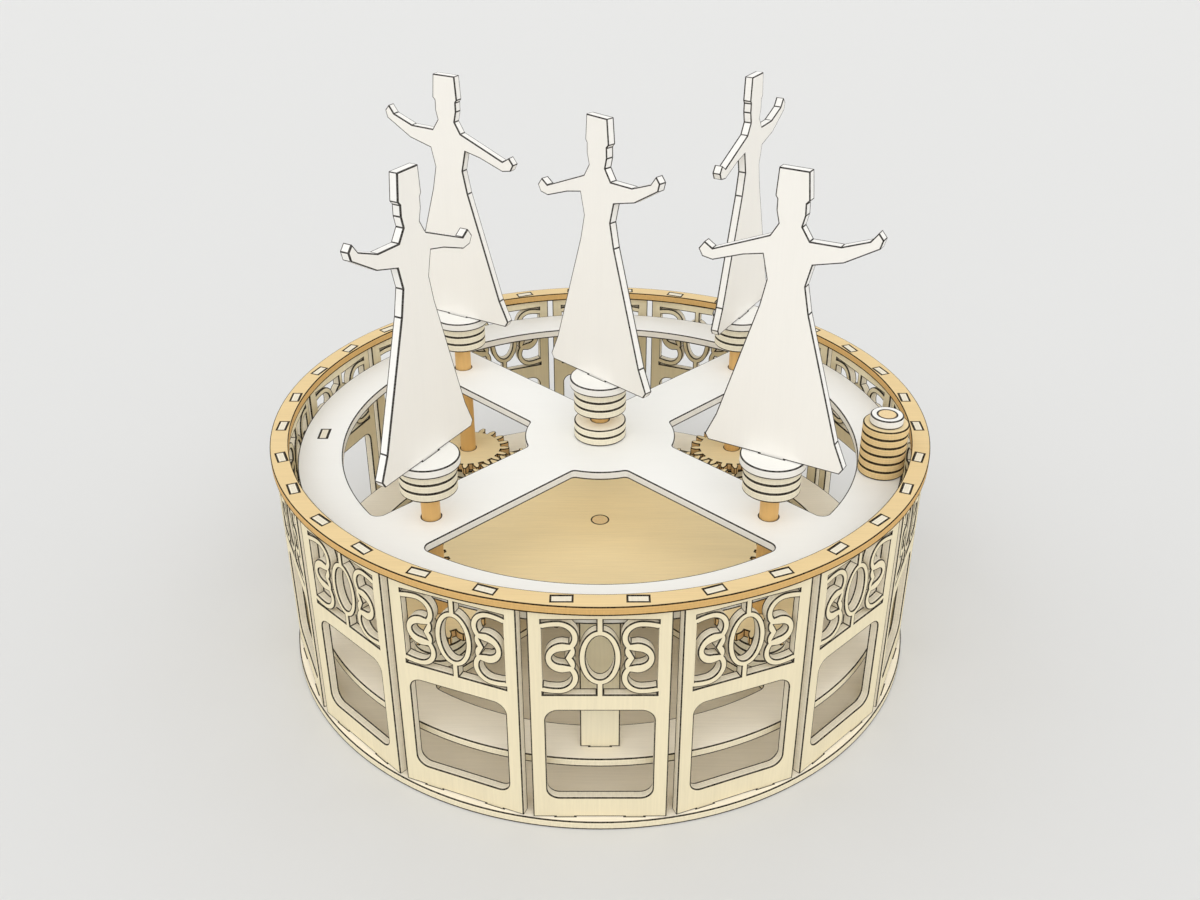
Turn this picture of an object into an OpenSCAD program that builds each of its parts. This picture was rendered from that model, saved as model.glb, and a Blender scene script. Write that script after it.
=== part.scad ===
// Hand-turned plywood automaton: five flat dancers on a turntable that carries
// a planetary gear train round a fixed sun gear, in a housing of fretted panels.
// Millimetres, +Z up, origin at the middle of the base's underside.

/* [Sheet and dowel] */

// thickness of the plywood sheet
sheet = 3; // [2.6:0.1:3.6]
// diameter of the dowel rod
dowel_d = 6; // [5:0.5:7]
// height of the sanded edge on every small disc
edge_break = 0.3; // [0.1:0.05:0.5]

/* [Fits] */

// gap round a glued dowel or tenon
glue_gap = 0.05; // [0.02:0.01:0.1]
// gap round a dowel that turns in its hole
run_gap = 0.08; // [0.05:0.01:0.1]
// play between the teeth of two gears
backlash = 0.16; // [0.1:0.02:0.24]

/* [Gear train] */

// tooth module of the sun gear and the four planet gears
gear_module = 1.5; // [1.4:0.05:1.6]
// distance from the planets' centres to the turntable's edge
rim_reach = 29; // [27:0.5:33]

/* [Turntable] */

// width of the rim of the turntable and of the lower disc
rim_w = 15; // [13:0.5:17]
// radius of the hub in the middle of both
hub_r = 26.3; // [22:0.1:30]
// width of the arms that carry the dancers
arm_w = 22.5; // [21:0.5:26]
// corner radius where an arm meets the rim
rim_fillet = 3; // [1:0.5:5]
// corner radius where an arm meets the hub
hub_fillet = 2; // [1:0.5:4]

/* [Struts] */

// height of the four struts between the lower disc and the turntable
strut_h = 51; // [46:0.5:60]
// width of a strut
strut_w = 12; // [10:0.5:16]
// width of a strut's tenon
strut_tenon_w = 6.5; // [5:0.5:8]
// distance from the edge to the middle of the struts and the knob
strut_inset = 7.15; // [6:0.05:8]

/* [Knob] */

// diameter of the discs of the turning knob
knob_d = 15; // [12:0.5:16]
// diameter of the collar that keeps the knob on its pin
knob_collar_d = 10.8; // [9:0.2:12]
// direction of the knob, in degrees round the axis
knob_angle = -14.6; // [-18:0.2:-13]

/* [Dancers] */

// height of a figure from its skirt hem to the top of its hat
figure_h = 89.3; // [75:0.1:100]
// turn of a figure away from the line to the axis, in degrees
figure_angle = 15; // [0:1:45]
// width of the tenon under a figure
figure_tenon_w = 8; // [6:0.5:12]
// diameter of the discs under a figure and of the spacers
disc_d = 18; // [15:0.5:20]
// diameter of the cap that a figure stands on
cap_d = 20.6; // [17:0.2:24]
// height of bare dowel that shows between the collar and the discs
dowel_show = 4.5; // [3:0.5:8]

/* [Housing] */

// gap between the turntable and the wall panels
wall_gap = 2.5; // [2:0.1:6]
// height of the top ring's face over the turntable's face
rim_drop = 9; // [7:0.5:12]
// rim of the ring and the base outside the panels
ring_rim = 2.5; // [2:0.1:5]
// rim of the ring inside the panels
ring_lip = 0.5; // [0.3:0.1:1.5]
// gap between neighbouring panels at their inner edges
corner_gap = 2; // [0.8:0.1:4]
// width of a panel's tenon
tenon_w = 6; // [4:0.5:8]
// distance between the two tenons at each end of a panel
tenon_pitch = 21; // [16:0.5:24]

/* [Panels] */

// border beside a window
window_border = 4.4; // [3.5:0.1:6]
// border under a window
bottom_border = 7.7; // [5:0.1:12]
// corner radius of a window
window_corner = 3.8; // [1:0.1:6]
// bar between a window and the fretwork over it
bar_h = 5.85; // [4:0.05:9]
// border beside the fretwork
fret_border = 3.85; // [3:0.05:5]
// border over the fretwork
top_border = 3.2; // [2.5:0.1:5]
// height of the fretwork
fret_h = 26.8; // [25:0.1:29]
// width of the bands of the fretwork's scrolls
scroll_band = 2.1; // [1.6:0.1:2.4]
// width of the band of its oval and of the oval's two stems
oval_band = 2; // [1.6:0.1:2.4]

/* [Hidden] */

$fn = 72;
// overrun of a cut past a face
over = 1;

// counts that the gear ratios and the list of pieces depend on
panel_count = 16;
dancer_count = 4;
sun_teeth = 80;
planet_teeth = 20;
pressure_angle = 20;
flank_steps = 4;
spacer_discs = 5;
collar_discs = 2;
lift_discs = 3;
knob_discs = 6;

// plan radii
planet_r = gear_module * (sun_teeth + planet_teeth) / 2;
table_r = planet_r + rim_reach;
rim_in_r = table_r - rim_w;
strut_r = table_r - strut_inset;
panel_r = table_r + wall_gap + sheet / 2;
base_r = panel_r + sheet / 2 + ring_rim;
ring_in_r = panel_r - sheet / 2 - ring_lip;
panel_w = 2 * (panel_r - sheet / 2) * tan(180 / panel_count) - corner_gap;

// heights from the base's underside upwards
low_z = sheet + spacer_discs * sheet;
gear_z = low_z + sheet + spacer_discs * sheet;
table_z = low_z + sheet + strut_h;
table_top = table_z + sheet;
ring_z = table_top + rim_drop - sheet;
disc_z = table_top + collar_discs * sheet + dowel_show;
cap_z = disc_z + lift_discs * sheet;
figure_z = cap_z + sheet;
wall_h = ring_z - sheet;
window_h = wall_h - top_border - fret_h - bar_h - bottom_border;

// diameters of holes
glue_bore_d = dowel_d + 2 * glue_gap;
run_bore_d = dowel_d + 2 * run_gap;

// directions of the four arms and of their dancers
first_arm_angle = -45;
function arm_angle(i) = first_arm_angle + i * 360 / dancer_count;

// colours
cream = [0.93, 0.88, 0.77];
tan_wood = [0.85, 0.69, 0.43];
white = [0.96, 0.95, 0.92];

// Outline of a dancing figure, across and up, as shares of its height:
// a flared skirt, one arm held low, the other held high, and a tall hat.
figure_shares = [
    [0.241, 0],
    [0.254, 0.0215],
    [0.216, 0.1075],
    [0.085, 0.542],
    [0.066, 0.633],
    [0.084, 0.708],
    [0.1825, 0.7345],
    [0.291, 0.7995],
    [0.299, 0.8285],
    [0.281, 0.85],
    [0.2575, 0.8185],
    [0.17, 0.785],
    [0.068, 0.783],
    [0.04, 0.825],
    [0.049, 0.862],
    [0.048, 0.899],
    [0.058, 0.91],
    [0.05, 1],
    [-0.05, 1],
    [-0.056, 0.91],
    [-0.049, 0.9],
    [-0.049, 0.8645],
    [-0.039, 0.824],
    [-0.065, 0.7805],
    [-0.2585, 0.7],
    [-0.288, 0.719],
    [-0.308, 0.692],
    [-0.294, 0.667],
    [-0.2565, 0.661],
    [-0.152, 0.699],
    [-0.084, 0.7145],
    [-0.065, 0.633],
    [-0.084, 0.542],
    [-0.216, 0.1075],
    [-0.254, 0.0215],
    [-0.241, 0],
];

// Fretwork: x places are shares of half its width, all other sizes are
// shares of half its height.
half_w = panel_w / 2 - fret_border;
half_h = fret_h / 2;
scroll_at_shares = [0.722, 0.53];
scroll_r_share = 0.44;
scroll_end_angle = -40;
tail_r_share = 1.27;
lobe_x_share = 0.637;
lobe_shares = [0.381, 0.404];
bump_r_share = 0.276;
bump_y_share = 0.174;
shoulder_shares = [0.3, 0.352];
eye_shares = [0.224, 0.164];
fin_shares = [0.134, 0.196];
notch_share = 0.034;
oval_shares = [0.448, 0.728];

// Round pieces

module rod(z, h) {
    translate([0, 0, z])
        cylinder(d = dowel_d, h = h);
}

// One disc cut from the sheet, with its edges sanded round.
module sanded_disc(d, bore_d) {
    difference() {
        union() {
            cylinder(d1 = d - 2 * edge_break, d2 = d, h = edge_break);
            translate([0, 0, edge_break])
                cylinder(d = d, h = sheet - 2 * edge_break);
            translate([0, 0, sheet - edge_break])
                cylinder(d1 = d, d2 = d - 2 * edge_break, h = edge_break);
        }
        if (bore_d > 0)
            translate([0, 0, -over])
                cylinder(d = bore_d, h = sheet + 2 * over);
    }
}

// A pile of such discs on a dowel.
module disc_pile(z, count, d, bore_d) {
    for (i = [0 : count - 1])
        translate([0, 0, z + i * sheet])
            sanded_disc(d, bore_d);
}

// Gears

function involute(base, r) =
    let (t = sqrt(max(0, pow(r / base, 2) - 1)))
    t * 180 / PI - atan(t);

// half the angle that a tooth covers at radius r
function half_tooth(teeth, r) =
    let (pitch = gear_module * teeth / 2)
    let (base = pitch * cos(pressure_angle))
    (PI * gear_module - backlash) / (4 * pitch) * 180 / PI
        + involute(base, pitch) - involute(base, max(r, base));

addendum_share = 1;
dedendum_share = 1.25;

// radii of the points of one flank, from the root to the tip
function flank_radii(teeth) =
    let (pitch = gear_module * teeth / 2)
    let (base = pitch * cos(pressure_angle))
    let (root = pitch - dedendum_share * gear_module)
    let (tip = pitch + addendum_share * gear_module)
    let (low = max(root, base))
    concat(
        root < base ? [root] : [],
        [for (k = [0 : flank_steps]) low + (tip - low) * k / flank_steps]
    );

module gear_outline(teeth) {
    radii = flank_radii(teeth);
    last = len(radii) - 1;
    polygon([
        for (i = [0 : teeth - 1])
            for (k = [0 : 2 * last + 1])
                let (side = k <= last ? -1 : 1)
                let (r = radii[k <= last ? k : 2 * last + 1 - k])
                let (a = i * 360 / teeth + side * half_tooth(teeth, r))
                r * [cos(a), sin(a)]
    ]);
}

module gear(teeth, bore_d) {
    linear_extrude(sheet)
        difference() {
            gear_outline(teeth);
            circle(d = bore_d);
        }
}

// Turntable and lower disc

// Rounded corner between an arm's edge and the inside of the rim.
module rim_corner() {
    y = arm_w / 2 + rim_fillet;
    reach = rim_in_r - rim_fillet;
    x = sqrt(pow(reach, 2) - pow(y, 2));
    in_rim = rim_in_r + rim_w / 2;
    difference() {
        polygon([
            [x, y],
            [x, 0],
            [in_rim, 0],
            in_rim / reach * [x, y],
        ]);
        translate([x, y])
            circle(rim_fillet);
    }
}

// Rounded corner between an arm's edge and the hub.
module hub_corner() {
    y = arm_w / 2 + hub_fillet;
    reach = hub_r + hub_fillet;
    x = sqrt(pow(reach, 2) - pow(y, 2));
    difference() {
        polygon([[x, y], [0, 0], [x, 0]]);
        translate([x, y])
            circle(hub_fillet);
    }
}

module spoked_outline() {
    difference() {
        circle(table_r);
        circle(rim_in_r);
    }
    circle(hub_r);
    for (i = [0 : dancer_count - 1])
        rotate(arm_angle(i)) {
            translate([0, -arm_w / 2])
                square([rim_in_r + rim_w / 2, arm_w]);
            for (side = [0, 1])
                mirror([0, side]) {
                    rim_corner();
                    hub_corner();
                }
        }
}

// A spoked disc with running holes for the shafts and slots for the struts.
module spoked_disc(centre_bore_d) {
    linear_extrude(sheet)
        difference() {
            spoked_outline();
            circle(d = centre_bore_d);
            for (i = [0 : dancer_count - 1]) {
                rotate(arm_angle(i))
                    translate([planet_r, 0])
                        circle(d = run_bore_d);
                rotate(i * 360 / dancer_count)
                    translate([strut_r, 0])
                        square([sheet + 2 * glue_gap, strut_tenon_w + 2 * glue_gap], center = true);
            }
        }
}

module knob_place() {
    rotate([0, 0, knob_angle])
        translate([strut_r, 0, 0])
            children();
}

// Panels

// One quarter of the scrollwork: a hooked band that runs out to the border.
module hook() {
    r = scroll_r_share * half_h;
    far = 2 * r;
    tail_r = tail_r_share * half_h;
    translate([scroll_at_shares[0] * half_w, scroll_at_shares[1] * half_h]) {
        difference() {
            circle(r);
            circle(r - scroll_band);
            polygon([
                [0, 0],
                [-far * cos(scroll_end_angle), far * sin(scroll_end_angle)],
                [-far, -far],
                [far, -far],
                [far, far],
                [0, far],
            ]);
        }
        intersection() {
            translate([0, r - tail_r])
                difference() {
                    circle(tail_r);
                    circle(tail_r - scroll_band);
                }
            square([half_w, far]);
        }
    }
}

// The lobe that the ends of two hooks run into: a half oval towards the
// border, two bumps towards the middle, and an eye with a fish's tail.
module lobe() {
    wide = lobe_shares[0] * half_h;
    tall = lobe_shares[1] * half_h;
    shoulder_x = shoulder_shares[0] * half_h;
    shoulder_y = shoulder_shares[1] * half_h;
    eye_w = eye_shares[0] * half_h;
    eye_h = eye_shares[1] * half_h;
    fin_x = fin_shares[0] * half_h;
    fin_y = fin_shares[1] * half_h;
    notch = notch_share * half_h;
    translate([lobe_x_share * half_w, 0])
        difference() {
            union() {
                intersection() {
                    scale([wide / tall, 1])
                        circle(tall);
                    translate([0, -2 * tall])
                        square(4 * tall);
                }
                intersection() {
                    for (side = [-1, 1])
                        translate([0, side * bump_y_share * half_h])
                            circle(bump_r_share * half_h);
                    polygon([
                        [0, tall],
                        [-shoulder_x, shoulder_y],
                        [-shoulder_x, -shoulder_y],
                        [0, -tall],
                    ]);
                }
            }
            intersection() {
                scale([eye_w / eye_h, 1])
                    circle(eye_h);
                translate([0, -2 * eye_h])
                    square(4 * eye_h);
            }
            polygon([
                [0, eye_h],
                [-fin_x, fin_y],
                [-notch, 0],
                [-fin_x, -fin_y],
                [0, -eye_h],
            ]);
        }
}

module oval() {
    wide = oval_shares[0] * half_h;
    tall = oval_shares[1] * half_h;
    difference() {
        scale([wide / tall, 1])
            circle(tall);
        scale([(wide - oval_band) / (tall - oval_band), 1])
            circle(tall - oval_band);
    }
    for (side = [0, 1])
        mirror([0, side])
            translate([-oval_band / 2, tall - oval_band / 2])
                square([oval_band, half_h]);
}

module fretwork() {
    oval();
    for (across = [0, 1])
        mirror([across, 0]) {
            lobe();
            for (up = [0, 1])
                mirror([0, up])
                    hook();
        }
}

module window() {
    w = panel_w / 2 - window_border - window_corner;
    h = window_h / 2 - window_corner;
    square([2 * (w + window_corner), 2 * h], center = true);
    square([2 * w, 2 * (h + window_corner)], center = true);
    for (x = [-w, w], y = [-h, h])
        translate([x, y])
            circle(window_corner);
}

module panel_outline() {
    difference() {
        translate([-panel_w / 2, 0])
            square([panel_w, wall_h]);
        translate([0, bottom_border + window_h / 2])
            window();
        translate([0, wall_h - top_border - half_h])
            difference() {
                square([2 * half_w, fret_h], center = true);
                fretwork();
            }
    }
    for (side = [-1, 1], end = [-sheet, wall_h - sheet])
        translate([side * tenon_pitch / 2 - tenon_w / 2, end])
            square([tenon_w, 2 * sheet]);
}

module wall_panel(i) {
    color(cream)
        rotate([0, 0, i * 360 / panel_count])
            translate([0, sheet / 2 - panel_r, sheet])
                rotate([90, 0, 0])
                    linear_extrude(sheet)
                        panel_outline();
}

// Slots for the panels' tenons, in the base and in the top ring.
module tenon_slots() {
    for (i = [0 : panel_count - 1])
        rotate(i * 360 / panel_count)
            for (side = [-1, 1])
                translate([side * tenon_pitch / 2, -panel_r])
                    square([tenon_w + 2 * glue_gap, sheet + 2 * glue_gap], center = true);
}

// Housing and fixed gear

module base_plate() {
    color(cream)
        linear_extrude(sheet)
            difference() {
                circle(base_r);
                tenon_slots();
                circle(d = glue_bore_d);
            }
}

module top_ring() {
    color(tan_wood)
        translate([0, 0, ring_z])
            linear_extrude(sheet)
                difference() {
                    circle(base_r);
                    circle(ring_in_r);
                    tenon_slots();
                }
}

module centre_post() {
    color(tan_wood)
        rod(0, gear_z + sheet);
}

module sun_gear() {
    color(tan_wood)
        translate([0, 0, gear_z])
            gear(sun_teeth, glue_bore_d);
}

module base_spacers() {
    color(cream)
        disc_pile(sheet, spacer_discs, disc_d, glue_bore_d);
}

// one disc fewer than under the planets, so that the lower disc turns freely
module sun_spacers() {
    color(cream)
        disc_pile(low_z + 2 * sheet, spacer_discs - 1, disc_d, glue_bore_d);
}

// Turning carrier

module turntable() {
    color(white)
        translate([0, 0, table_z])
            difference() {
                spoked_disc(glue_bore_d);
                knob_place()
                    translate([0, 0, -over])
                        cylinder(d = glue_bore_d, h = sheet + 2 * over);
            }
}

module lower_disc() {
    color(cream)
        translate([0, 0, low_z])
            spoked_disc(run_bore_d);
}

module strut(i) {
    color(cream)
        rotate([0, 0, i * 360 / dancer_count])
            translate([strut_r, 0, low_z + sheet + strut_h / 2]) {
                cube([sheet, strut_w, strut_h], center = true);
                cube([sheet, strut_tenon_w, strut_h + 2 * sheet], center = true);
            }
}

module hub_collar() {
    color(cream)
        disc_pile(table_top, collar_discs, disc_d, glue_bore_d);
}

module centre_pin() {
    color(tan_wood)
        rod(table_z, cap_z - table_z);
}

module knob_pin() {
    color(tan_wood)
        knob_place()
            rod(table_z, sheet + (knob_discs + 1) * sheet);
}

module knob_collar() {
    color(white)
        knob_place()
            disc_pile(table_top + knob_discs * sheet, 1, knob_collar_d, glue_bore_d);
}

module knob_grip() {
    color(tan_wood)
        knob_place()
            disc_pile(table_top, knob_discs, knob_d, run_bore_d);
}

// Dancers

module lift_discs_pile() {
    color(cream)
        disc_pile(disc_z, lift_discs, disc_d, glue_bore_d);
}

// Cap with a slot for the figure's tenon.
module cap(turn) {
    color(white)
        translate([0, 0, cap_z])
            difference() {
                sanded_disc(cap_d, 0);
                rotate([0, 0, turn])
                    translate([0, 0, -over])
                        linear_extrude(sheet + 2 * over)
                            square([figure_tenon_w + 2 * glue_gap, sheet + 2 * glue_gap], center = true);
            }
}

module figure(turn) {
    color(white)
        translate([0, 0, figure_z])
            rotate([0, 0, turn])
                translate([0, sheet / 2, 0])
                    rotate([90, 0, 0])
                        linear_extrude(sheet) {
                            polygon(figure_h * figure_shares);
                            translate([-figure_tenon_w / 2, -sheet])
                                square([figure_tenon_w, 2 * sheet]);
                        }
}

module arm_place(i) {
    translate(planet_r * [cos(arm_angle(i)), sin(arm_angle(i)), 0])
        children();
}

module shaft(i) {
    color(tan_wood)
        arm_place(i)
            rod(low_z, cap_z - low_z);
}

module planet_gear(i) {
    color(tan_wood)
        arm_place(i)
            translate([0, 0, gear_z])
                gear(planet_teeth, glue_bore_d);
}

module planet_spacers(i) {
    color(cream)
        arm_place(i)
            disc_pile(low_z + sheet, spacer_discs, disc_d, glue_bore_d);
}

module dancer_discs(i) {
    arm_place(i)
        lift_discs_pile();
}

module dancer_cap(i) {
    arm_place(i)
        cap(arm_angle(i) + figure_angle);
}

module dancer_figure(i) {
    arm_place(i)
        figure(arm_angle(i) + figure_angle);
}

base_plate();
top_ring();
centre_post();
sun_gear();
base_spacers();
sun_spacers();
wall_panel(0);  // panel_01
wall_panel(1);  // panel_02
wall_panel(2);  // panel_03
wall_panel(3);  // panel_04
wall_panel(4);  // panel_05
wall_panel(5);  // panel_06
wall_panel(6);  // panel_07
wall_panel(7);  // panel_08
wall_panel(8);  // panel_09
wall_panel(9);  // panel_10
wall_panel(10);  // panel_11
wall_panel(11);  // panel_12
wall_panel(12);  // panel_13
wall_panel(13);  // panel_14
wall_panel(14);  // panel_15
wall_panel(15);  // panel_16
turntable();
lower_disc();
strut(0);  // strut_1
strut(1);  // strut_2
strut(2);  // strut_3
strut(3);  // strut_4
hub_collar();
centre_pin();
lift_discs_pile();  // centre_discs
cap(first_arm_angle);  // centre_cap
figure(first_arm_angle);  // centre_figure
knob_pin();
knob_collar();
knob_grip();
shaft(0);  // shaft_1
planet_gear(0);  // gear_1
planet_spacers(0);  // spacers_1
dancer_discs(0);  // discs_1
dancer_cap(0);  // cap_1
dancer_figure(0);  // figure_1
shaft(1);  // shaft_2
planet_gear(1);  // gear_2
planet_spacers(1);  // spacers_2
dancer_discs(1);  // discs_2
dancer_cap(1);  // cap_2
dancer_figure(1);  // figure_2
shaft(2);  // shaft_3
planet_gear(2);  // gear_3
planet_spacers(2);  // spacers_3
dancer_discs(2);  // discs_3
dancer_cap(2);  // cap_3
dancer_figure(2);  // figure_3
shaft(3);  // shaft_4
planet_gear(3);  // gear_4
planet_spacers(3);  // spacers_4
dancer_discs(3);  // discs_4
dancer_cap(3);  // cap_4
dancer_figure(3);  // figure_4
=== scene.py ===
import math

import bpy
from mathutils import Matrix, Vector
from mathutils.geometry import delaunay_2d_cdt


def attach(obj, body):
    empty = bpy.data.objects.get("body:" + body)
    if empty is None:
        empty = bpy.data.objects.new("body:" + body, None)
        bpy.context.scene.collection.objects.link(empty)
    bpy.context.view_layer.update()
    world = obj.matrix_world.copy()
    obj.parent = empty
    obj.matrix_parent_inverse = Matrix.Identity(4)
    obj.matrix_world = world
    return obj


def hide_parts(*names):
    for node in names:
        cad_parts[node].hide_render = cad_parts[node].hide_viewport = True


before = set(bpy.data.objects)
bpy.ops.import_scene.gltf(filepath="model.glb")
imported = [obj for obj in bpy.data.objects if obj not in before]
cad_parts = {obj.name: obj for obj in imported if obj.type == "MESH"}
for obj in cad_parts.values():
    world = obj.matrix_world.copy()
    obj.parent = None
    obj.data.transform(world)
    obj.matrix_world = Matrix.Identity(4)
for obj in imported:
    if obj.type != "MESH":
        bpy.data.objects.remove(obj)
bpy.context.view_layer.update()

# Floor, light and camera
# A plain pale floor in a studio with soft lamps on four sides, the strongest
# in front, and a sky that lights more from low down but looks as pale as the
# floor. The camera looks down on the automaton from in front.
camera_place = (0, -0.38071, 0.28803)
camera_target = (0, 0, 0.068424)
lens_mm = 37.23
film_mm = 36
nearest_seen = 0.01
floor_half = 40.0
floor_colour = (0.74, 0.74, 0.73, 1)
floor_roughness = 0.9
sky_low = 0.55
sky_above = 0.28
sky_above_from = 0.7
sky_as_seen = 0.85
lamp_softness = 75
# Each lamp's side, turn round the automaton, height in degrees and strength.
lamps = (
    ("front", 0, 42, 1.6),
    ("right", 90, 30, 0.8),
    ("back", 180, 30, 0.75),
    ("left", 270, 30, 0.9),
)


def link(thing):
    bpy.context.scene.collection.objects.link(thing)
    return thing


floor_mesh = bpy.data.meshes.new("floor")
floor_mesh.from_pydata(
    [(x * floor_half, y * floor_half, 0) for x, y in ((-1, -1), (1, -1), (1, 1), (-1, 1))],
    [],
    [(0, 1, 2, 3)],
)
floor = link(bpy.data.objects.new("floor", floor_mesh))
floor_finish = bpy.data.materials.new("floor")
floor_finish.use_nodes = True
floor_shader = floor_finish.node_tree.nodes["Principled BSDF"]
floor_shader.inputs["Base Color"].default_value = floor_colour
floor_shader.inputs["Roughness"].default_value = floor_roughness
floor_mesh.materials.append(floor_finish)

world = bpy.data.worlds.new("studio")
world.use_nodes = True
sky = world.node_tree
direction = sky.nodes.new("ShaderNodeTexCoord")
upward = sky.nodes.new("ShaderNodeSeparateXYZ")
blend = sky.nodes.new("ShaderNodeMapRange")
blend.inputs["From Max"].default_value = sky_above_from
blend.inputs["To Min"].default_value = sky_low
blend.inputs["To Max"].default_value = sky_above
blend.interpolation_type = "SMOOTHSTEP"
sky.links.new(direction.outputs["Generated"], upward.inputs[0])
sky.links.new(upward.outputs["Z"], blend.inputs["Value"])
rays = sky.nodes.new("ShaderNodeLightPath")
seen = rays.outputs["Is Camera Ray"]
for kind in ("Is Glossy Ray", "Is Transmission Ray"):
    either = sky.nodes.new("ShaderNodeMath")
    either.operation = "MAXIMUM"
    sky.links.new(seen, either.inputs[0])
    sky.links.new(rays.outputs[kind], either.inputs[1])
    seen = either.outputs[0]
lit_or_seen = sky.nodes.new("ShaderNodeMix")
lit_or_seen.inputs["B"].default_value = sky_as_seen
sky.links.new(seen, lit_or_seen.inputs["Factor"])
sky.links.new(blend.outputs["Result"], lit_or_seen.inputs["A"])
sky.nodes["Background"].inputs["Color"].default_value = (1, 1, 1, 1)
sky.links.new(lit_or_seen.outputs["Result"], sky.nodes["Background"].inputs["Strength"])
bpy.context.scene.world = world
bpy.context.scene.view_settings.view_transform = "Standard"

for side, turn, height, strength in lamps:
    lamp_data = bpy.data.lights.new(f"{side}_lamp", "SUN")
    lamp_data.energy = strength
    lamp_data.angle = math.radians(lamp_softness)
    lamp = link(bpy.data.objects.new(f"{side}_lamp", lamp_data))
    lamp.rotation_euler = (math.radians(90 - height), 0, math.radians(turn))

camera_data = bpy.data.cameras.new("camera")
camera_data.sensor_width = film_mm
camera_data.lens = lens_mm
camera_data.clip_start = nearest_seen
camera = link(bpy.data.objects.new("camera", camera_data))
camera.location = camera_place
looking = Vector(camera_target) - camera.location
camera.rotation_euler = looking.to_track_quat("-Z", "Y").to_euler()
bpy.context.scene.camera = camera

# Base plate
# A round plate cut by laser from 3 mm birch plywood and left unpainted. It has
# two slots for the tenons of each wall panel, and a hole for the centre post.
mm = 0.001
sheet = 3.0
glue_gap = 0.05
burnt_corner = 0.1
scorch_reach = 0.3
panel_count = 16
panel_r = 108.0
base_r = 112.0
tenon_w = 6.0
tenon_pitch = 21.0
dowel_r = 3.0
dowel_steps = 64
plate_steps = 192
sharp_turn = 26
shaded_as_sharp = 28


def polar(r, angle):
    """The point at a radius and an angle in degrees."""
    return r * math.cos(math.radians(angle)), r * math.sin(math.radians(angle))


def arc(x, y, r, start, end, steps):
    """Points on a circle round (x, y), from one angle to another, in degrees."""
    spots = [polar(r, start + (end - start) * k / steps) for k in range(steps + 1)]
    return [(x + px, y + py) for px, py in spots]


def circle(r, steps=plate_steps, x=0, y=0):
    return arc(x, y, r, 0, 360, steps)[:-1]


def turned(points, angle):
    """A loop turned round the middle, in degrees."""
    c, s = polar(1, angle)
    return [(c * x - s * y, s * x + c * y) for x, y in points]


def rectangle(w, h, x=0, y=0):
    left, right = x - w / 2, x + w / 2
    low, high = y - h / 2, y + h / 2
    return [(left, low), (right, low), (right, high), (left, high)]


def area(loop):
    """The area inside a loop, below zero where it runs clockwise."""
    sides = zip(loop, loop[1:] + loop[:1])
    return sum(a[0] * b[1] - b[0] * a[1] for a, b in sides) / 2


def fill(loops):
    """Fills loops of points with triangles. Each loop comes with True where it
    keeps wood and False where it cuts wood out, and a later loop overrules an
    earlier one. Gives the points, the triangles of wood, and for each point its
    numbers in the loops, which are counted on from loop to loop."""
    points, outlines = [], []
    for loop, _ in loops:
        outline = list(range(len(points), len(points) + len(loop)))
        outlines.append(outline if area(loop) > 0 else outline[::-1])
        points += [Vector(p) for p in loop]
    only_inside, same_point = 1, 1e-5
    filled = delaunay_2d_cdt(points, [], outlines, only_inside, same_point, True)
    flat, _, triangles, numbers, _, covers = filled
    wood = [t for t, under in zip(triangles, covers) if under and loops[max(under)][1]]
    return flat, wood, numbers


def rims(flat, wood):
    """The loops round the wood, which lies on their left, outer ones first."""
    edges = {(t[k - 1], t[k]) for t in wood for k in range(3)}
    after = {a: b for a, b in edges if (b, a) not in edges}
    loops = []
    while after:
        v = min(after)
        loops.append([])
        while v in after:
            loops[-1].append(flat[v])
            v = after.pop(v)
    return sorted(loops, key=lambda loop: area(loop) < 0)


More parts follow.
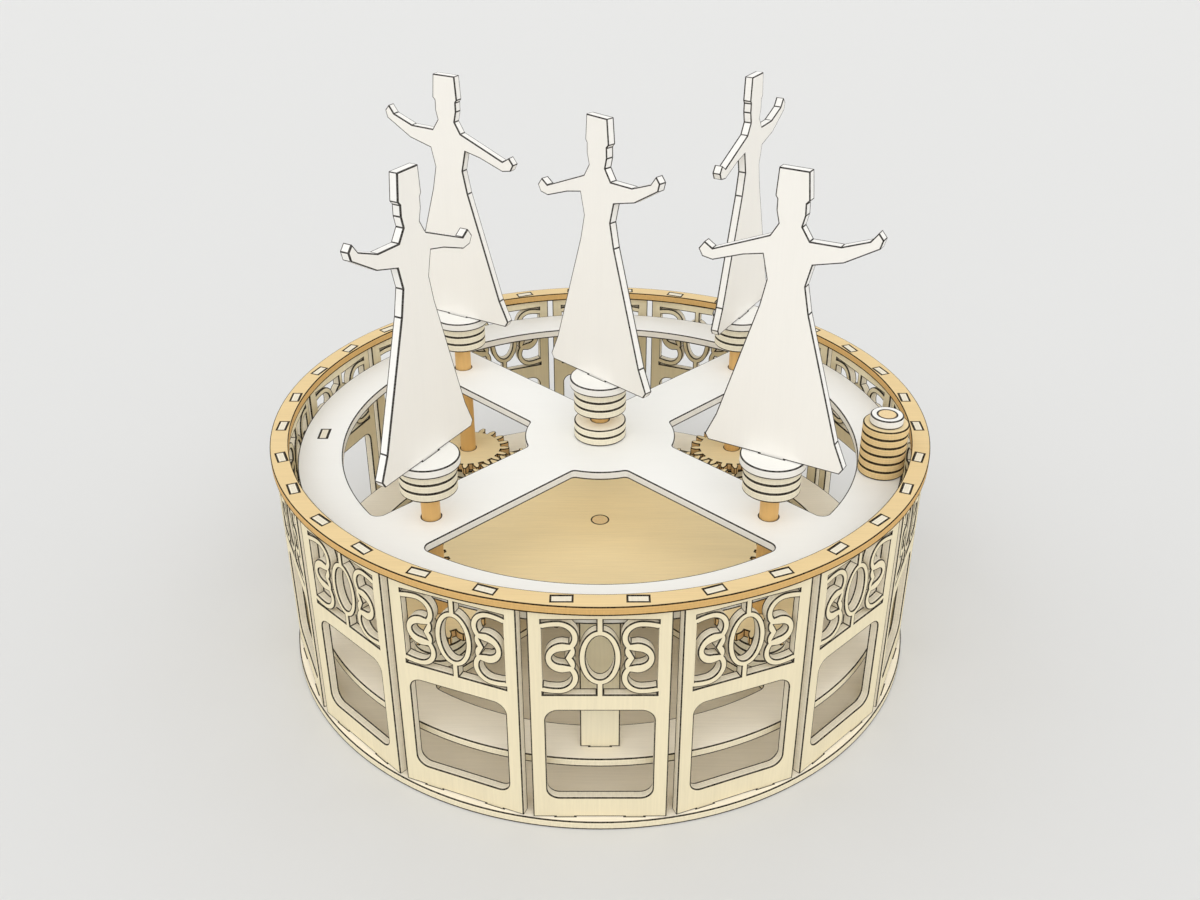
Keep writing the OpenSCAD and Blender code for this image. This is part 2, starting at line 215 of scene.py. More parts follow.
def cut_sheet(loops, thick=sheet, corner=burnt_corner, reach=scorch_reach, grain_up=False, sharp=sharp_turn):
    """A flat piece, from z = 0 up, cut from loops that fill() takes, with small
    flat corners. The UV map "cut" holds metres along and across the grain, or
    along and up a cut edge. The UV map "turns" holds metres to each end of a cut
    edge where the outline turns by more than the sharp angle, in degrees. The
    attribute "edge" is 1 on cut edges, and "burn" falls from 1 on the corners to
    0 on the faces, as far in as the scorch reaches."""
    # How far in from the cut each level lies, its height, and how burnt it is.
    levels = [(corner, 0, 1), (0, corner, 1), (0, thick - corner, 1), (corner, thick, 1)]
    if reach:
        levels = [(corner + reach, 0, 0), *levels, (corner + reach, thick, 0)]
    ring = len(levels)
    straight = math.cos(math.radians(sharp))
    sharpest_mitre = 0.4
    far = 1
    verts, faces, uvs, turns, edges, burns, insets = [], [], [], [], [], [], []
    for rim in rims(*fill(loops)[:2]):
        count, first, run = len(rim), len(verts) // ring, 0.0
        sides = [rim[(k + 1) % count] - rim[k] for k in range(count)]
        lefts = [Vector((-side.y, side.x)).normalized() for side in sides]
        alike = [lefts[k - 1].dot(lefts[k]) for k in range(count)]
        inward = [(lefts[k - 1] + lefts[k]) / max(sharpest_mitre, 1 + alike[k]) for k in range(count)]
        insets.append([rim[k] + inward[k] * levels[0][0] for k in range(count)])
        for k in range(count):
            verts += [(*((rim[k] + inward[k] * depth) * mm), z * mm) for depth, z, _ in levels]
            length = sides[k].length * mm
            after = (k + 1) % count
            near_sharp, far_sharp = alike[k] < straight, alike[after] < straight
            near_turns = (0 if near_sharp else far, length if far_sharp else far)
            far_turns = (length if near_sharp else far, 0 if far_sharp else far)
            for level, (lower, upper) in enumerate(zip(levels, levels[1:])):
                a, b = ring * (first + k) + level, ring * (first + after) + level
                on_face = lower[0] > 0 and upper[0] > 0
                on_edge = lower[0] == 0 and upper[0] == 0
                faces.append((a, b, b + 1, a + 1))
                uvs += [(run, lower[1] * mm), (run + length, lower[1] * mm)]
                uvs += [(run + length, upper[1] * mm), (run, upper[1] * mm)]
                turns += 4 * [(far, far)] if on_face else [near_turns, far_turns, far_turns, near_turns]
                burns += 4 * [0] if on_edge else [lower[2], lower[2], upper[2], upper[2]]
                edges.append(not on_face)
            run += length

    flat, wood, numbers = fill([(inset, area(inset) > 0) for inset in insets])
    for triangle in wood:
        spots = [(flat[v].x * mm, flat[v].y * mm)[:: -1 if grain_up else 1] for v in triangle]
        corners = [ring * numbers[v][0] for v in triangle]
        faces += [tuple(c + ring - 1 for c in corners), tuple(corners[::-1])]
        uvs += spots + spots[::-1]
        turns += 6 * [(far, far)]
        burns += 6 * [0]
        edges += [False, False]

    mesh = bpy.data.meshes.new("cut")
    mesh.from_pydata(verts, [], faces)
    for map_name, values in (("cut", uvs), ("turns", turns)):
        uv_map = mesh.uv_layers.new(name=map_name)
        uv_map.data.foreach_set("uv", [value for pair in values for value in pair])
    mesh.attributes.new("edge", "FLOAT", "FACE").data.foreach_set("value", edges)
    mesh.attributes.new("burn", "FLOAT", "CORNER").data.foreach_set("value", burns)
    return mesh


def finish_piece(name, mesh, material, body, nodes=()):
    """Makes a mesh in its place into a shown piece. It stands for the nodes that
    are given, or else for the node of its own name."""
    mesh.name = name
    mesh.polygons.foreach_set("use_smooth", [True] * len(mesh.polygons))
    mesh.set_sharp_from_angle(angle=math.radians(shaded_as_sharp))
    mesh.materials.clear()
    mesh.materials.append(material)
    piece = link(bpy.data.objects.new(name, mesh))
    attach(piece, body)
    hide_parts(*(nodes or [name]))


def shown_colour(colour):
    """A colour given as it should look on the screen, red, green and blue from
    0 to 255, as a shader wants it."""
    return (*[((value / 255 + 0.055) / 1.055) ** 2.4 for value in colour], 1)


def node_of(tree, kind, inputs=(), **settings):
    """A new node with its settings, and its inputs set to values or linked."""
    node = tree.nodes.new(kind)
    for name, value in settings.items():
        setattr(node, name, value)
    for socket, value in dict(inputs).items():
        if isinstance(value, bpy.types.NodeSocket):
            tree.links.new(value, node.inputs[socket])
        else:
            node.inputs[socket].default_value = value
    return node


def calculate(tree, operation, a, b=0.0):
    return node_of(tree, "ShaderNodeMath", {0: a, 1: b}, operation=operation).outputs[0]


def total(tree, start, *parts):
    """A start value with others added to it, each times its own weight."""
    for value, weight in parts:
        inputs = {0: value, 1: weight, 2: start}
        start = node_of(tree, "ShaderNodeMath", inputs, operation="MULTIPLY_ADD").outputs[0]
    return start


def noise(tree, place, stretch, detail):
    """Grey noise on a place that is stretched to the given repeats in a metre."""
    wide = node_of(tree, "ShaderNodeVectorMath", {0: place, 1: stretch}, operation="MULTIPLY")
    inputs = {"Vector": wide.outputs[0], "Scale": 1.0, "Detail": detail}
    return node_of(tree, "ShaderNodeTexNoise", inputs).outputs["Fac"]


def attribute(tree, name, output="Fac"):
    return node_of(tree, "ShaderNodeAttribute", attribute_name=name).outputs[output]


def toned(tree, colour, tone):
    """A colour made lighter or darker by a tone, where 1 leaves it as it is."""
    return node_of(tree, "ShaderNodeVectorMath", {0: colour, "Scale": tone}, operation="SCALE").outputs[0]


def mix_colours(tree, mask, first, second):
    mixer = node_of(tree, "ShaderNodeMix", data_type="RGBA")
    tree.links.new(mask, mixer.inputs["Factor"])
    colour_inputs = [socket for socket in mixer.inputs if socket.type == "RGBA"]
    for socket, value in zip(colour_inputs, (first, second)):
        tree.links.new(value, socket)
    return [socket for socket in mixer.outputs if socket.type == "RGBA"][0]


def wood_group(name, colours, amounts=()):
    """A new shader group with its inputs and the outputs that every wood has."""
    tree = bpy.data.node_groups.new(name, "ShaderNodeTree")
    for label in colours:
        tree.interface.new_socket(label, in_out="INPUT", socket_type="NodeSocketColor")
    for label in amounts:
        tree.interface.new_socket(label, in_out="INPUT", socket_type="NodeSocketFloat")
    tree.interface.new_socket("Color", in_out="OUTPUT", socket_type="NodeSocketColor")
    for label in ("Roughness", "Height"):
        tree.interface.new_socket(label, in_out="OUTPUT", socket_type="NodeSocketFloat")
    return tree, tree.nodes.new("NodeGroupInput").outputs, tree.nodes.new("NodeGroupOutput").inputs


# Plywood as cut by laser: long grain on the faces, three plies and two glue
# lines on a cut edge, and a scorched line along every corner, which runs
# further up the edge at the foot, where the beam comes out.
fibre_share = 0.6
band_share = 0.4
fleck_from = 0.69
fleck_dark = 0.12
ply_count = 3
half_ply = 0.5
glue_half = 0.07
glue_dark = 0.28
middle_ply_dark = 0.12
edge_fibre_dark = 0.5
foot_share = 0.6
scorch_full = 0.3
scorch_even = 0.8
scorch_patchy = 0.3
scorch_rough = 0.4
fibre_rough = 0.2

plywood, given, made = wood_group("plywood", ("Face", "Edge", "Burn"), ("Grain", "Plies", "Matt"))
on_sheet = node_of(plywood, "ShaderNodeUVMap", uv_map="cut").outputs[0]
shift = attribute(plywood, "shift", "Vector")
spot = node_of(plywood, "ShaderNodeVectorMath", {0: on_sheet, 1: shift}, operation="ADD").outputs[0]
fibres = noise(plywood, spot, (60, 1500, 1), detail=4.0)
bands = noise(plywood, spot, (9, 140, 1), detail=2.0)
flecks = calculate(plywood, "GREATER_THAN", noise(plywood, spot, (260, 3600, 1), detail=1.0), fleck_from)
uneven = total(plywood, -0.5, (fibres, fibre_share), (bands, band_share), (flecks, -fleck_dark))
face_colour = toned(plywood, given["Face"], total(plywood, 1.0, (uneven, given["Grain"])))

up_edge = node_of(plywood, "ShaderNodeSeparateXYZ", {0: on_sheet}).outputs["Y"]
ply = calculate(plywood, "MULTIPLY", up_edge, ply_count / (sheet * mm))
from_glue = calculate(plywood, "FRACT", calculate(plywood, "ADD", ply, half_ply))
from_glue = calculate(plywood, "ABSOLUTE", calculate(plywood, "SUBTRACT", from_glue, half_ply))
glue_line = calculate(plywood, "LESS_THAN", from_glue, glue_half)
from_middle = calculate(plywood, "ABSOLUTE", calculate(plywood, "SUBTRACT", ply, ply_count / 2))
middle_ply = calculate(plywood, "LESS_THAN", from_middle, half_ply)
edge_fibres = noise(plywood, on_sheet, (1800, 500, 1), detail=2.0)
edge_uneven = total(
    plywood,
    edge_fibre_dark / 2,
    (glue_line, -glue_dark),
    (middle_ply, -middle_ply_dark),
    (edge_fibres, -edge_fibre_dark),
)
edge_colour = toned(plywood, given["Edge"], total(plywood, 1.0, (edge_uneven, given["Plies"])))

on_edge = attribute(plywood, "edge")
below_top = calculate(plywood, "SUBTRACT", (sheet - burnt_corner) * mm, up_edge)
above_foot = calculate(plywood, "SUBTRACT", up_edge, burnt_corner * mm)
to_corner = calculate(plywood, "MINIMUM", below_top, calculate(plywood, "MULTIPLY", above_foot, foot_share))
to_turns = node_of(plywood, "ShaderNodeUVMap", uv_map="turns").outputs[0]
to_turns = node_of(plywood, "ShaderNodeSeparateXYZ", {0: to_turns}).outputs
to_turn = calculate(plywood, "MINIMUM", to_turns["X"], to_turns["Y"])
to_burnt = calculate(plywood, "MINIMUM", to_corner, to_turn)
burnt = calculate(plywood, "MULTIPLY", total(plywood, 1.0, (to_burnt, -1 / (scorch_reach * mm))), on_edge)
burnt = calculate(plywood, "MAXIMUM", attribute(plywood, "burn"), burnt)
burnt = node_of(
    plywood,
    "ShaderNodeMapRange",
    {"Value": burnt, "From Max": scorch_full},
    interpolation_type="SMOOTHSTEP",
).outputs[0]
burnt = calculate(plywood, "MULTIPLY", burnt, total(plywood, scorch_even, (edge_fibres, scorch_patchy)))
burnt = calculate(plywood, "MINIMUM", burnt, 1.0)

wood_colour = mix_colours(plywood, on_edge, face_colour, edge_colour)
wood_colour = mix_colours(plywood, burnt, wood_colour, given["Burn"])
rough = total(plywood, given["Matt"], (fibres, fibre_rough), (burnt, scorch_rough))
relief = total(plywood, 0.0, (fibres, fibre_share), (bands, band_share), (flecks, -1.0))
relief = calculate(plywood, "MULTIPLY", relief, given["Grain"])
for label, value in (("Color", wood_colour), ("Roughness", rough), ("Height", relief)):
    plywood.links.new(value, made[label])


def wood_finish(name, group, colours, amounts, gloss=0.12, relief=0.6):
    """A material of a wood group with its own colours and amounts. Gloss is the
    shader's specular level, and relief how strongly the grain stands out."""
    relief_depth = 0.04 * mm
    material = bpy.data.materials.new(name)
    material.use_nodes = True
    tree = material.node_tree
    wood = node_of(tree, "ShaderNodeGroup", node_tree=group)
    for label, colour in colours.items():
        wood.inputs[label].default_value = shown_colour(colour)
    for label, amount in amounts.items():
        wood.inputs[label].default_value = amount
    inputs = {"Height": wood.outputs["Height"], "Strength": relief, "Distance": relief_depth}
    bump = node_of(tree, "ShaderNodeBump", inputs)
    shader = tree.nodes["Principled BSDF"]
    shader.inputs["Specular IOR Level"].default_value = gloss
    tree.links.new(wood.outputs["Color"], shader.inputs["Base Color"])
    tree.links.new(wood.outputs["Roughness"], shader.inputs["Roughness"])
    tree.links.new(bump.outputs[0], shader.inputs["Normal"])
    return material


def plywood_finish(name, face, edge, grain, plies, matt=0.6):
    colours = {"Face": face, "Edge": edge, "Burn": (24, 17, 12)}
    amounts = {"Grain": grain, "Plies": plies, "Matt": matt}
    return wood_finish(name, plywood, colours, amounts)


birch_flat = plywood_finish("birch_flat", (250, 242, 224), (240, 229, 199), grain=0.24, plies=0.5)


def tenon_slots():
    """Slots for two tenons of every panel, a glue gap wider than the tenons."""
    slots = [
        rectangle(tenon_w + 2 * glue_gap, sheet + 2 * glue_gap, side * tenon_pitch / 2, -panel_r)
        for side in (-1, 1)
    ]
    return [(turned(slot, k * 360 / panel_count), False) for k in range(panel_count) for slot in slots]


def dowel_hole(gap, x=0, y=0):
    return circle(dowel_r + gap, dowel_steps, x, y), False


post_hole = dowel_hole(glue_gap)
base_plate = cut_sheet([(circle(base_r), True), *tenon_slots(), post_hole])
finish_piece("base_plate", base_plate, birch_flat, "casing")

# Centre post and spacers
# A beech dowel glued in the base, on which everything turns. Piles of small
# birch discs on it carry the lower disc and, above that, the sun gear.
disc_r = 9.0
disc_steps = 96
bore_steps = 48
disc_turn = 37
rounded_corner = 0.2
rod_corner = 0.15
low_z = 18.0
gear_z = 36.0
spacer_discs = 5

repeat = bpy.data.node_groups.new("repeat_piece", "GeometryNodeTree")
for label, kind in (
    ("Geometry", "NodeSocketGeometry"),
    ("Count", "NodeSocketInt"),
    ("Turn", "NodeSocketFloat"),
    ("Lift", "NodeSocketFloat"),
    ("Seed", "NodeSocketInt"),
    ("Material", "NodeSocketMaterial"),
):
    repeat.interface.new_socket(label, in_out="INPUT", socket_type=kind)
repeat.interface.new_socket("Geometry", in_out="OUTPUT", socket_type="NodeSocketGeometry")
given = repeat.nodes.new("NodeGroupInput").outputs
made = repeat.nodes.new("NodeGroupOutput").inputs
index = repeat.nodes.new("GeometryNodeInputIndex").outputs[0]
rise = node_of(repeat, "ShaderNodeCombineXYZ", {"Z": calculate(repeat, "MULTIPLY", index, given["Lift"])})
spin = node_of(repeat, "ShaderNodeCombineXYZ", {"Z": calculate(repeat, "MULTIPLY", index, given["Turn"])})
places = node_of(repeat, "GeometryNodePoints", {"Count": given["Count"], "Position": rise.outputs[0]})
euler = node_of(repeat, "FunctionNodeEulerToRotation", {0: spin.outputs[0]})
copies = node_of(
    repeat,
    "GeometryNodeInstanceOnPoints",
    {"Points": places.outputs[0], "Instance": given["Geometry"], "Rotation": euler.outputs[0]},
)
draw = node_of(repeat, "FunctionNodeRandomValue", data_type="FLOAT_VECTOR")
repeat.links.new(given["Seed"], draw.inputs["Seed"])
store = node_of(
    repeat,
    "GeometryNodeStoreNamedAttribute",
    {"Geometry": copies.outputs[0], "Name": "shift", "Value": draw.outputs[0]},
    data_type="FLOAT_VECTOR",
    domain="INSTANCE",
)
joined = node_of(repeat, "GeometryNodeRealizeInstances", {"Geometry": store.outputs[0]})
dressed = node_of(
    repeat, "GeometryNodeSetMaterial", {"Geometry": joined.outputs[0], "Material": given["Material"]}
)
repeat.links.new(dressed.outputs[0], made["Geometry"])


def repeated(mesh, material, count, turn=0.0, lift=0.0, seed=0):
    """A mesh with copies of one piece, each turned and lifted from the last. The
    seed draws the place in the grain that each copy is cut from."""
    pattern = link(bpy.data.objects.new("pattern", mesh))
    modifier = pattern.modifiers.new("repeat", "NODES")
    modifier.node_group = repeat
    values = {
        "Count": count,
        "Turn": math.radians(turn),
        "Lift": lift * mm,
        "Seed": seed,
        "Material": material,
    }
    for socket in repeat.interface.items_tree:
        if socket.in_out == "INPUT" and socket.name in values:
            modifier[socket.identifier] = values[socket.name]
    bpy.context.view_layer.update()
    seen = pattern.evaluated_get(bpy.context.evaluated_depsgraph_get())
    result = bpy.data.meshes.new_from_object(seen)
    bpy.data.objects.remove(pattern)
    return result


def placed(mesh, x=0.0, y=0.0, z=0.0, turn=0.0, upright=False):
    """The same mesh stood upright if asked, turned in degrees and moved in mm."""
    stand = Matrix.Rotation(math.radians(90 if upright else 0), 4, "X")
    spin = Matrix.Rotation(math.radians(turn), 4, "Z")
    mesh.transform(Matrix.Translation((x * mm, y * mm, z * mm)) @ spin @ stand)
    return mesh


def pile_of_discs(material, count, r=disc_r, bore=dowel_r + glue_gap, seed=0):
    """Round discs glued in a pile, the grain of each turned from the last."""
    loops = [(circle(r, disc_steps), True), (circle(bore, bore_steps), False)]
    disc = cut_sheet(loops, corner=rounded_corner)
    return repeated(disc, material, count, turn=disc_turn, lift=sheet, seed=seed)


# Dowel rod: straight grain along its length, and speckled grain on its sawn ends.
rod_fibre_share = 0.16
rod_band_share = 0.14
end_share = 0.3
rod_darkest = 0.85
rod_matt = 0.4

beech, given, made = wood_group("beech_rod", ("Side", "End", "Burn"))
in_wood = node_of(beech, "ShaderNodeTexCoord").outputs["Object"]
rod_fibres = noise(beech, in_wood, (2600, 2600, 45), detail=3.0)
rod_bands = noise(beech, in_wood, (420, 420, 12), detail=2.0)
rod_tone = total(beech, rod_darkest, (rod_fibres, rod_fibre_share), (rod_bands, rod_band_share))
end_tone = total(beech, rod_darkest, (noise(beech, in_wood, (1500, 1500, 1500), detail=2.0), end_share))
side_colour = toned(beech, given["Side"], rod_tone)
end_colour = toned(beech, given["End"], end_tone)
rod_colour = mix_colours(beech, attribute(beech, "edge"), end_colour, side_colour)
rod_colour = mix_colours(beech, attribute(beech, "burn"), rod_colour, given["Burn"])
rod_rough = total(beech, rod_matt, (rod_fibres, fibre_rough))
for label, value in (("Color", rod_colour), ("Roughness", rod_rough), ("Height", rod_fibres)):
    beech.links.new(value, made[label])
rod_colours = {"Side": (221, 178, 112), "End": (236, 208, 156), "Burn": (74, 52, 32)}
dowel = wood_finish("dowel", beech, rod_colours, {}, gloss=0.3, relief=0.5)


def rod(low, high, x=0.0, y=0.0):
    wood = cut_sheet([(circle(dowel_r, dowel_steps), True)], thick=high - low, corner=rod_corner, reach=0)
    return placed(wood, x, y, low)


birch_disc = plywood_finish("birch_disc", (246, 238, 219), (242, 234, 210), grain=0.24, plies=0.45)
finish_piece("centre_post", rod(0, gear_z + sheet), dowel, "casing")
base_spacers = placed(pile_of_discs(birch_disc, spacer_discs, seed=1), z=sheet)
finish_piece("base_spacers", base_spacers, birch_disc, "casing")
sun_spacers = placed(pile_of_discs(birch_disc, spacer_discs - 1, seed=2), z=low_z + 2 * sheet)
finish_piece("sun_spacers", sun_spacers, birch_disc, "casing")

# Lower disc
# A spoked birch disc that turns on the post, resting on the spacers. Its four
# arms carry the feet of the dancers' shafts, and its rim the struts.
run_gap = 0.08
table_r = 104.0
rim_in_r = 89.0
hub_r = 26.3
arm_w = 22.5
rim_fillet = 3.0
hub_fillet = 2.0
planet_r = 75.0
arm_angles = (-45, 45, 135, 225)
strut_count = 4
strut_r = 96.85
strut_tenon_w = 6.5


def arm_opening():
    """The cut-out between two arms, drawn for arms at -45 and 45 degrees."""
    arm = arm_angles[0]
    outer = arm_w / 2 + rim_fillet
    outer_reach = rim_in_r - rim_fillet
    rim_turn = arm + math.degrees(math.asin(outer / outer_reach))
    inner = arm_w / 2 + hub_fillet
    inner_reach = hub_r + hub_fillet
    hub_turn = arm + math.degrees(math.asin(inner / inner_reach))
    lower = arc(*polar(inner_reach, hub_turn), hub_fillet, hub_turn + 180, arm + 270, steps=8)
    lower += arc(*polar(outer_reach, rim_turn), rim_fillet, arm - 90, rim_turn, steps=10)
    lower += arc(0, 0, rim_in_r, rim_turn, 0, steps=32)
    upper = [(x, -y) for x, y in reversed(lower[:-1])]
    hub = arc(0, 0, hub_r, -hub_turn, hub_turn, steps=12)[1:-1]
    return lower + upper + hub


def spoked_disc(*holes):
    """The outline that the lower disc and the turntable share."""
    loops = [(circle(table_r), True)]
    loops += [(turned(arm_opening(), angle - arm_angles[0]), False) for angle in arm_angles]
    shaft_hole, _ = dowel_hole(run_gap, planet_r)
    slot = rectangle(sheet + 2 * glue_gap, strut_tenon_w + 2 * glue_gap, strut_r)
    for k, angle in enumerate(arm_angles):
        loops.append((turned(shaft_hole, angle), False))
        loops.append((turned(slot, 360 / strut_count * k), False))
    return cut_sheet(loops + list(holes))


lower_disc = placed(spoked_disc(dowel_hole(run_gap)), z=low_z)
finish_piece("lower_disc", lower_disc, birch_flat, "carrier")

# Struts
# Four birch straps that stand between the lower disc and the turntable, with a
# tenon through each, so that the two turn as one cage.
strut_w = 12.0
strut_h = 51.0
table_z = low_z + sheet + strut_h
table_top = table_z + sheet
# The straps' faces are a darker copy of the base's birch: painted shade for upright faces.
birch_upright_painted_shade = plywood_finish("birch_upright_painted_shade", (238, 228, 198), (243, 234, 212), grain=0.24, plies=0.5)

strap_loops = [
    (rectangle(strut_w, strut_h), True),
    (rectangle(strut_tenon_w, strut_h + 2 * sheet), True),
]
strap = cut_sheet(strap_loops, grain_up=True)
strap = placed(strap, strut_r - sheet / 2, 0, low_z + sheet + strut_h / 2, 90, upright=True)
struts = repeated(strap, birch_upright_painted_shade, strut_count, turn=360 / strut_count, seed=3)
strut_names = [f"strut_{k}" for k in range(1, strut_count + 1)]
finish_piece("struts", struts, birch_upright_painted_shade, "carrier", strut_names)

# Gears
# Flat involute gears of warm tan plywood, module 1.5: a sun gear of 80 teeth
# glued on the post, and four planets of 20 teeth that roll round it.
gear_module = 1.5
pressure_angle = math.radians(20)
backlash = 0.16
sun_teeth = 80
planet_teeth = 20
flank_steps = 6
# A lighter copy of the ring's tan plywood, face and edge: painted light that makes up for the shade the
# turntable casts on the gears.
tan_gear_painted_light = plywood_finish("tan_gear_painted_light", (252, 232, 186), (238, 200, 140), grain=0.28, plies=0.5)


def gear(teeth):
    """A whole gear, its teeth with involute flanks."""
    pitch = gear_module * teeth / 2
    base = pitch * math.cos(pressure_angle)
    root, tip = pitch - 1.25 * gear_module, pitch + gear_module

    def involute(r):
        t = math.sqrt(max(0.0, (r / base) ** 2 - 1))
        return t - math.atan(t)

    def half_tooth(r):
        """Half the angle that a tooth covers at radius r."""
        at_pitch = (math.pi * gear_module - backlash) / (4 * pitch)
        return at_pitch + involute(pitch) - involute(max(r, base))

    low = max(root, base)
    radii = [root] * (root < base)
    radii += [low + (tip - low) * k / flank_steps for k in range(flank_steps + 1)]
    flank = [(r, math.degrees(half_tooth(r))) for r in radii]
    tooth = [(r, -a) for r, a in flank] + [(r, a) for r, a in reversed(flank)]
    outline = [polar(r, 360 * k / teeth + a) for k in range(teeth) for r, a in tooth]
    return cut_sheet([(outline, True), post_hole])


finish_piece("sun_gear", placed(gear(sun_teeth), z=gear_z), tan_gear_painted_light, "casing")

# Planet gears, their spacers and their shafts
# Each planet is glued on a dowel above five birch spacers. The dowel turns in
# the lower disc and the turntable, and goes on up to the dancer.
disc_z = 85.5
lift_discs = 3
cap_z = disc_z + lift_discs * sheet
for number, angle in enumerate(arm_angles, 1):
    x, y = polar(planet_r, angle)
    body = f"dancer_{number}"
    planet = placed(gear(planet_teeth), x, y, gear_z)
    finish_piece(f"gear_{number}", planet, tan_gear_painted_light, body)
    spacers = placed(pile_of_discs(birch_disc, spacer_discs, seed=10 + number), x, y, low_z + sheet)
    finish_piece(f"spacers_{number}", spacers, birch_disc, body)
    finish_piece(f"shaft_{number}", rod(low_z, cap_z, x, y), dowel, body)

# Wall panels
# Sixteen birch panels, tenoned into the base and the ring. Each has a window
# over the gears and, above it, a field of fretwork: an oval on two stems
# between pairs of scrolls, joined at the sides by a lobe with a fish-tailed eye.
wall_h = 78.0
panel_w = 40.37
side_border = 4.4
bottom_border = 7.7
top_border = 3.2
window_corner = 3.8
bar_h = 5.85
fret_h = 26.8
fret_border = 3.85
scroll_band = 2.1
oval_band = 2.0
joint_overlap = 0.5
window_w = panel_w - 2 * side_border
window_h = wall_h - top_border - fret_h - bar_h - bottom_border
half_w = panel_w / 2 - fret_border
half_h = fret_h / 2
# The panels' faces are a darker copy of the base's birch: painted shade for upright faces. Their cut edges
# keep a lighter birch colour.
birch_panel_painted_shade = plywood_finish("birch_panel_painted_shade", (234, 222, 189), (243, 234, 212), grain=0.26, plies=0.5)


def ellipse(wide, tall, points):
    """Points of a unit circle stretched to an ellipse."""
    return [(wide * x, tall * y) for x, y in points]


def rounded_rectangle(w, h, r, y=0):
    corners = rectangle(w - 2 * r, h - 2 * r, 0, y)
    starts = zip(corners[2:] + corners[:2], (0, 90, 180, 270))
    return [p for corner, start in starts for p in arc(*corner, r, start, start + 90, steps=10)]


def scroll():
    """A scroll's band, from the side border over the top and round to its end."""
    r = 0.44 * half_h
    x, y = 0.722 * half_w, 0.53 * half_h
    end = 220
    tail_r = 1.27 * half_h
    tail_y = y + r - tail_r
    tail_start = 90 - math.degrees(math.asin((half_w - x + joint_overlap) / tail_r))
    outside = arc(x, tail_y, tail_r, tail_start, 90, steps=8)
    outside += arc(x, y, r, 90, end, steps=30)[1:]
    inside = arc(x, y, r - scroll_band, end, 90, steps=26)
    inside += arc(x, tail_y, tail_r - scroll_band, 90, tail_start, steps=8)[1:]
    return outside + inside


def lobe():
    """The lobe's outline, with two bumps towards the oval, and its eye."""
    x = 0.637 * half_w
    wide, tall = 0.381 * half_h, 0.404 * half_h
    bump_r, bump_y = 0.276 * half_h, 0.174 * half_h
    bump_start = 150
    notch = 180 + math.degrees(math.asin(bump_y / bump_r))
    shoulder_x, shoulder_y = x - 0.142 * half_h, 0.379 * half_h
    outline = [(x + px, y) for px, y in ellipse(wide, tall, arc(0, 0, 1, -90, 90, steps=32))]
    outline += [(shoulder_x, shoulder_y)] + arc(x, bump_y, bump_r, bump_start, notch, steps=16)
    outline += arc(x, -bump_y, bump_r, 360 - notch, 360 - bump_start, steps=16)[1:]
    outline += [(shoulder_x, -shoulder_y)]
    eye_w, eye_h = 0.224 * half_h, 0.164 * half_h
    fin_x, fin_y = 0.134 * half_h, 0.196 * half_h
    tail_x = 0.034 * half_h
    eye = [(x + px, y) for px, y in ellipse(eye_w, eye_h, arc(0, 0, 1, -90, 90, steps=20))]
    eye += [(x - fin_x, fin_y), (x - tail_x, 0), (x - fin_x, -fin_y)]
    return outline, eye


def panel_loops():
    fret_y = wall_h - top_border - half_h

    def in_fret(loop, side=1, up=1):
        """A loop mirrored to its side and half of the fretwork, and set in it."""
        return [(side * x, fret_y + up * y) for x, y in loop]

    loops = [(rectangle(panel_w, wall_h, 0, wall_h / 2), True)]
    for side in (-1, 1):
        tenons = rectangle(tenon_w, wall_h + 2 * sheet, side * tenon_pitch / 2, wall_h / 2)
        loops.append((tenons, True))
    window = rounded_rectangle(window_w, window_h, window_corner, bottom_border + window_h / 2)
    loops += [(window, False), (in_fret(rectangle(2 * half_w, fret_h)), False)]
    outline, eye = lobe()
    for side in (-1, 1):
        loops += [(in_fret(scroll(), side, up), True) for up in (-1, 1)]
        loops += [(in_fret(outline, side), True), (in_fret(eye, side), False)]
    wide, tall = 0.448 * half_h, 0.728 * half_h
    oval = ellipse(wide, tall, circle(1, steps=72))
    oval_hole = ellipse(wide - oval_band, tall - oval_band, circle(1, steps=72))
    stem = rectangle(oval_band, fret_h + 2 * joint_overlap)
    return loops + [(in_fret(stem), True), (in_fret(oval), True), (in_fret(oval_hole), False)]


panel = placed(cut_sheet(panel_loops(), grain_up=True), 0, sheet / 2 - panel_r, sheet, upright=True)
wall_panels = repeated(panel, birch_panel_painted_shade, panel_count, turn=360 / panel_count, seed=5)
panel_names = [f"panel_{k:02d}" for k in range(1, panel_count + 1)]
finish_piece("wall_panels", wall_panels, birch_panel_painted_shade, "casing", panel_names)

# Top ring
# A ring of the tan plywood that locks the panels' upper tenons. The tenons come
# through flush and show as pale ends in its face.
ring_z = 81.0
ring_in_r = 106.0
ring_scorch = 0.2
tan_ply = plywood_finish("tan_ply", (234, 207, 155), (218, 177, 113), grain=0.28, plies=0.5)
ring_loops = [(circle(base_r), True), (circle(ring_in_r), False), *tenon_slots()]
top_ring = placed(cut_sheet(ring_loops, reach=ring_scorch), z=ring_z)
finish_piece("top_ring", top_ring, tan_ply, "casing")

# Turntable, hub collar and centre pin
# The white painted disc that is turned by hand. A dowel in its hub carries a
# collar of two discs, and higher up the discs and cap of the middle dancer.
knob_angle = -14.6
knob_x, knob_y = polar(strut_r, knob_angle)
collar_discs = 2
white_paint = plywood_finish(
    "white_paint", (246, 245, 240), (243, 241, 235), grain=0.06, plies=0.12, matt=0.3
)
knob_hole = dowel_hole(glue_gap, knob_x, knob_y)
turntable = placed(spoked_disc(post_hole, knob_hole), z=table_z)
finish_piece("turntable", turntable, white_paint, "carrier")
hub_collar = placed(pile_of_discs(birch_disc, collar_discs, seed=6), z=table_top)
finish_piece("hub_collar", hub_collar, birch_disc, "carrier")
finish_piece("centre_pin", rod(table_z, cap_z), dowel, "carrier")

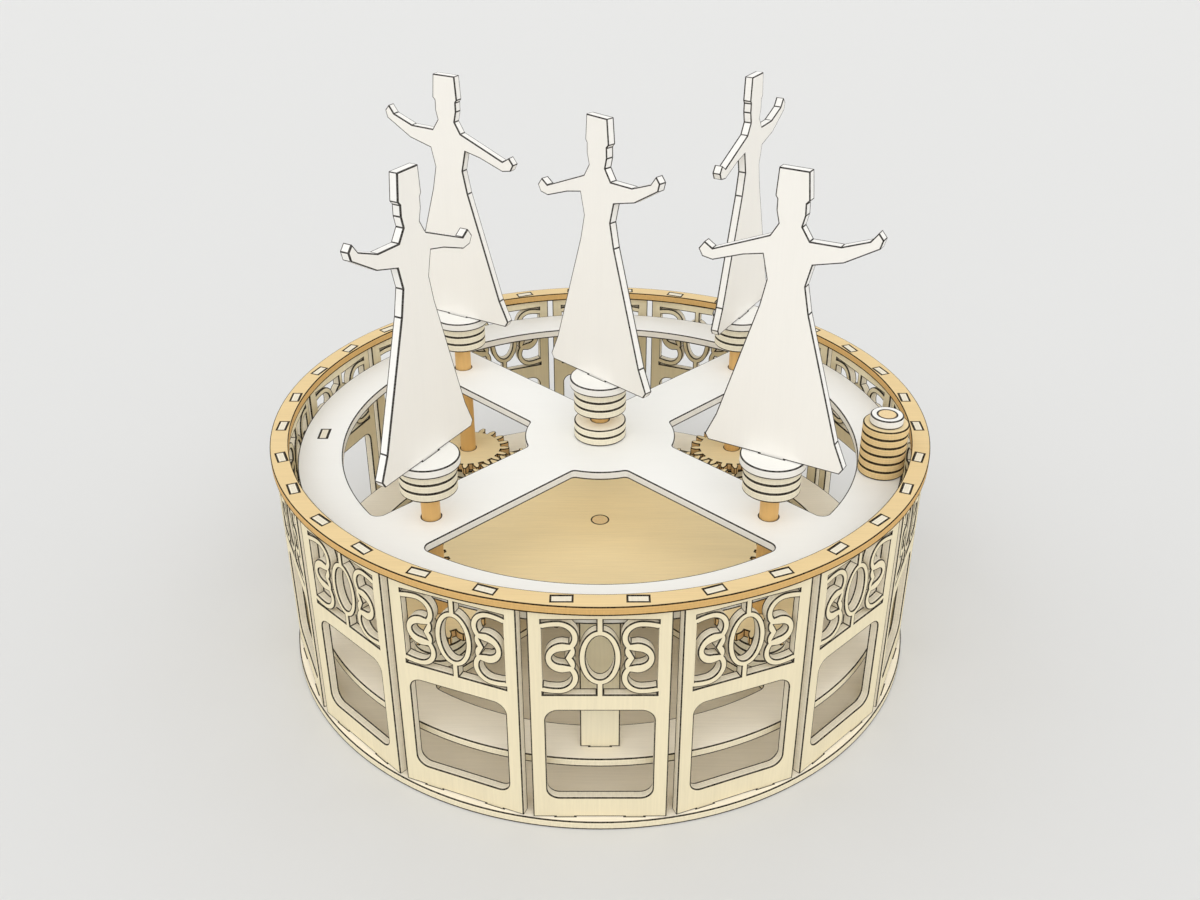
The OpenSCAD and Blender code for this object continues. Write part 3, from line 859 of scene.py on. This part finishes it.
# Knob
# Six tan discs glued in a pile that turns freely on a dowel in the rim. A
# small white collar on the dowel's end keeps it there.
knob_r = 7.5
collar_r = 5.4
knob_discs = 6
knob_top = table_top + knob_discs * sheet
# A lighter copy of the ring's tan plywood, the edges most: painted light that makes up for the shade on the
# knob's sides.
tan_disc_painted_light = plywood_finish("tan_disc_painted_light", (238, 216, 170), (236, 207, 152), grain=0.28, plies=0.5)
knob_pin = rod(table_z, knob_top + sheet, knob_x, knob_y)
finish_piece("knob_pin", knob_pin, dowel, "carrier")
knob_grip = pile_of_discs(tan_disc_painted_light, knob_discs, knob_r, dowel_r + run_gap, seed=7)
knob_grip = placed(knob_grip, knob_x, knob_y, table_top)
finish_piece("knob_grip", knob_grip, tan_disc_painted_light, "knob")
knob_collar = placed(pile_of_discs(white_paint, 1, collar_r, seed=8), knob_x, knob_y, knob_top)
finish_piece("knob_collar", knob_collar, white_paint, "carrier")

# Dancers
# Five flat figures cut from one outline and painted white: a flared skirt, one
# arm low, the other high, and a tall hat. A tenon under the skirt stands in a
# slot in a white cap, on three birch discs at the shaft's end.
cap_r = 10.3
figure_h = 89.3
figure_angle = 15
figure_tenon_w = 8.0
figure_turn = 4
figure_shares = (
    (0.241, 0), (0.254, 0.0215), (0.216, 0.1075), (0.085, 0.542), (0.066, 0.633), (0.084, 0.708),
    (0.1825, 0.7345), (0.291, 0.7995), (0.299, 0.8285), (0.281, 0.85), (0.2575, 0.8185), (0.17, 0.785),
    (0.068, 0.783), (0.04, 0.825), (0.049, 0.862), (0.048, 0.899), (0.058, 0.91), (0.05, 1),
    (-0.05, 1), (-0.056, 0.91), (-0.049, 0.9), (-0.049, 0.8645), (-0.039, 0.824), (-0.065, 0.7805),
    (-0.2585, 0.7), (-0.288, 0.719), (-0.308, 0.692), (-0.294, 0.667), (-0.2565, 0.661), (-0.152, 0.699),
    (-0.084, 0.7145), (-0.065, 0.633), (-0.084, 0.542), (-0.216, 0.1075), (-0.254, 0.0215), (-0.241, 0),
)
# The figures' faces are a shade darker than the turntable's white: painted shade for upright faces.
white_figure_painted_shade = plywood_finish(
    "white_figure_painted_shade", (243, 240, 233), (246, 244, 239), grain=0.06, plies=0.12, matt=0.3
)


def dancer(x, y, turn, body, names, seed):
    """Discs, cap and figure, named in this order, on the shaft at (x, y)."""
    discs_name, cap_name, figure_name = names
    discs = placed(pile_of_discs(birch_disc, lift_discs, seed=seed), x, y, disc_z)
    finish_piece(discs_name, discs, birch_disc, body)
    slot = rectangle(figure_tenon_w + 2 * glue_gap, sheet + 2 * glue_gap)
    cap = cut_sheet([(circle(cap_r, disc_steps), True), (slot, False)], corner=rounded_corner)
    finish_piece(cap_name, placed(cap, x, y, cap_z, turn), white_paint, body)
    figure_loops = [
        ([(px * figure_h, py * figure_h) for px, py in figure_shares], True),
        (rectangle(figure_tenon_w, 2 * sheet), True),
    ]
    figure = placed(cut_sheet(figure_loops, grain_up=True, sharp=figure_turn), y=sheet / 2, upright=True)
    finish_piece(figure_name, placed(figure, x, y, cap_z + sheet, turn), white_figure_painted_shade, body)


for number, angle in enumerate(arm_angles, 1):
    names = [f"{piece}_{number}" for piece in ("discs", "cap", "figure")]
    dancer(*polar(planet_r, angle), angle + figure_angle, f"dancer_{number}", names, 20 + number)
dancer(0, 0, arm_angles[0], "carrier", ("centre_discs", "centre_cap", "centre_figure"), 20)
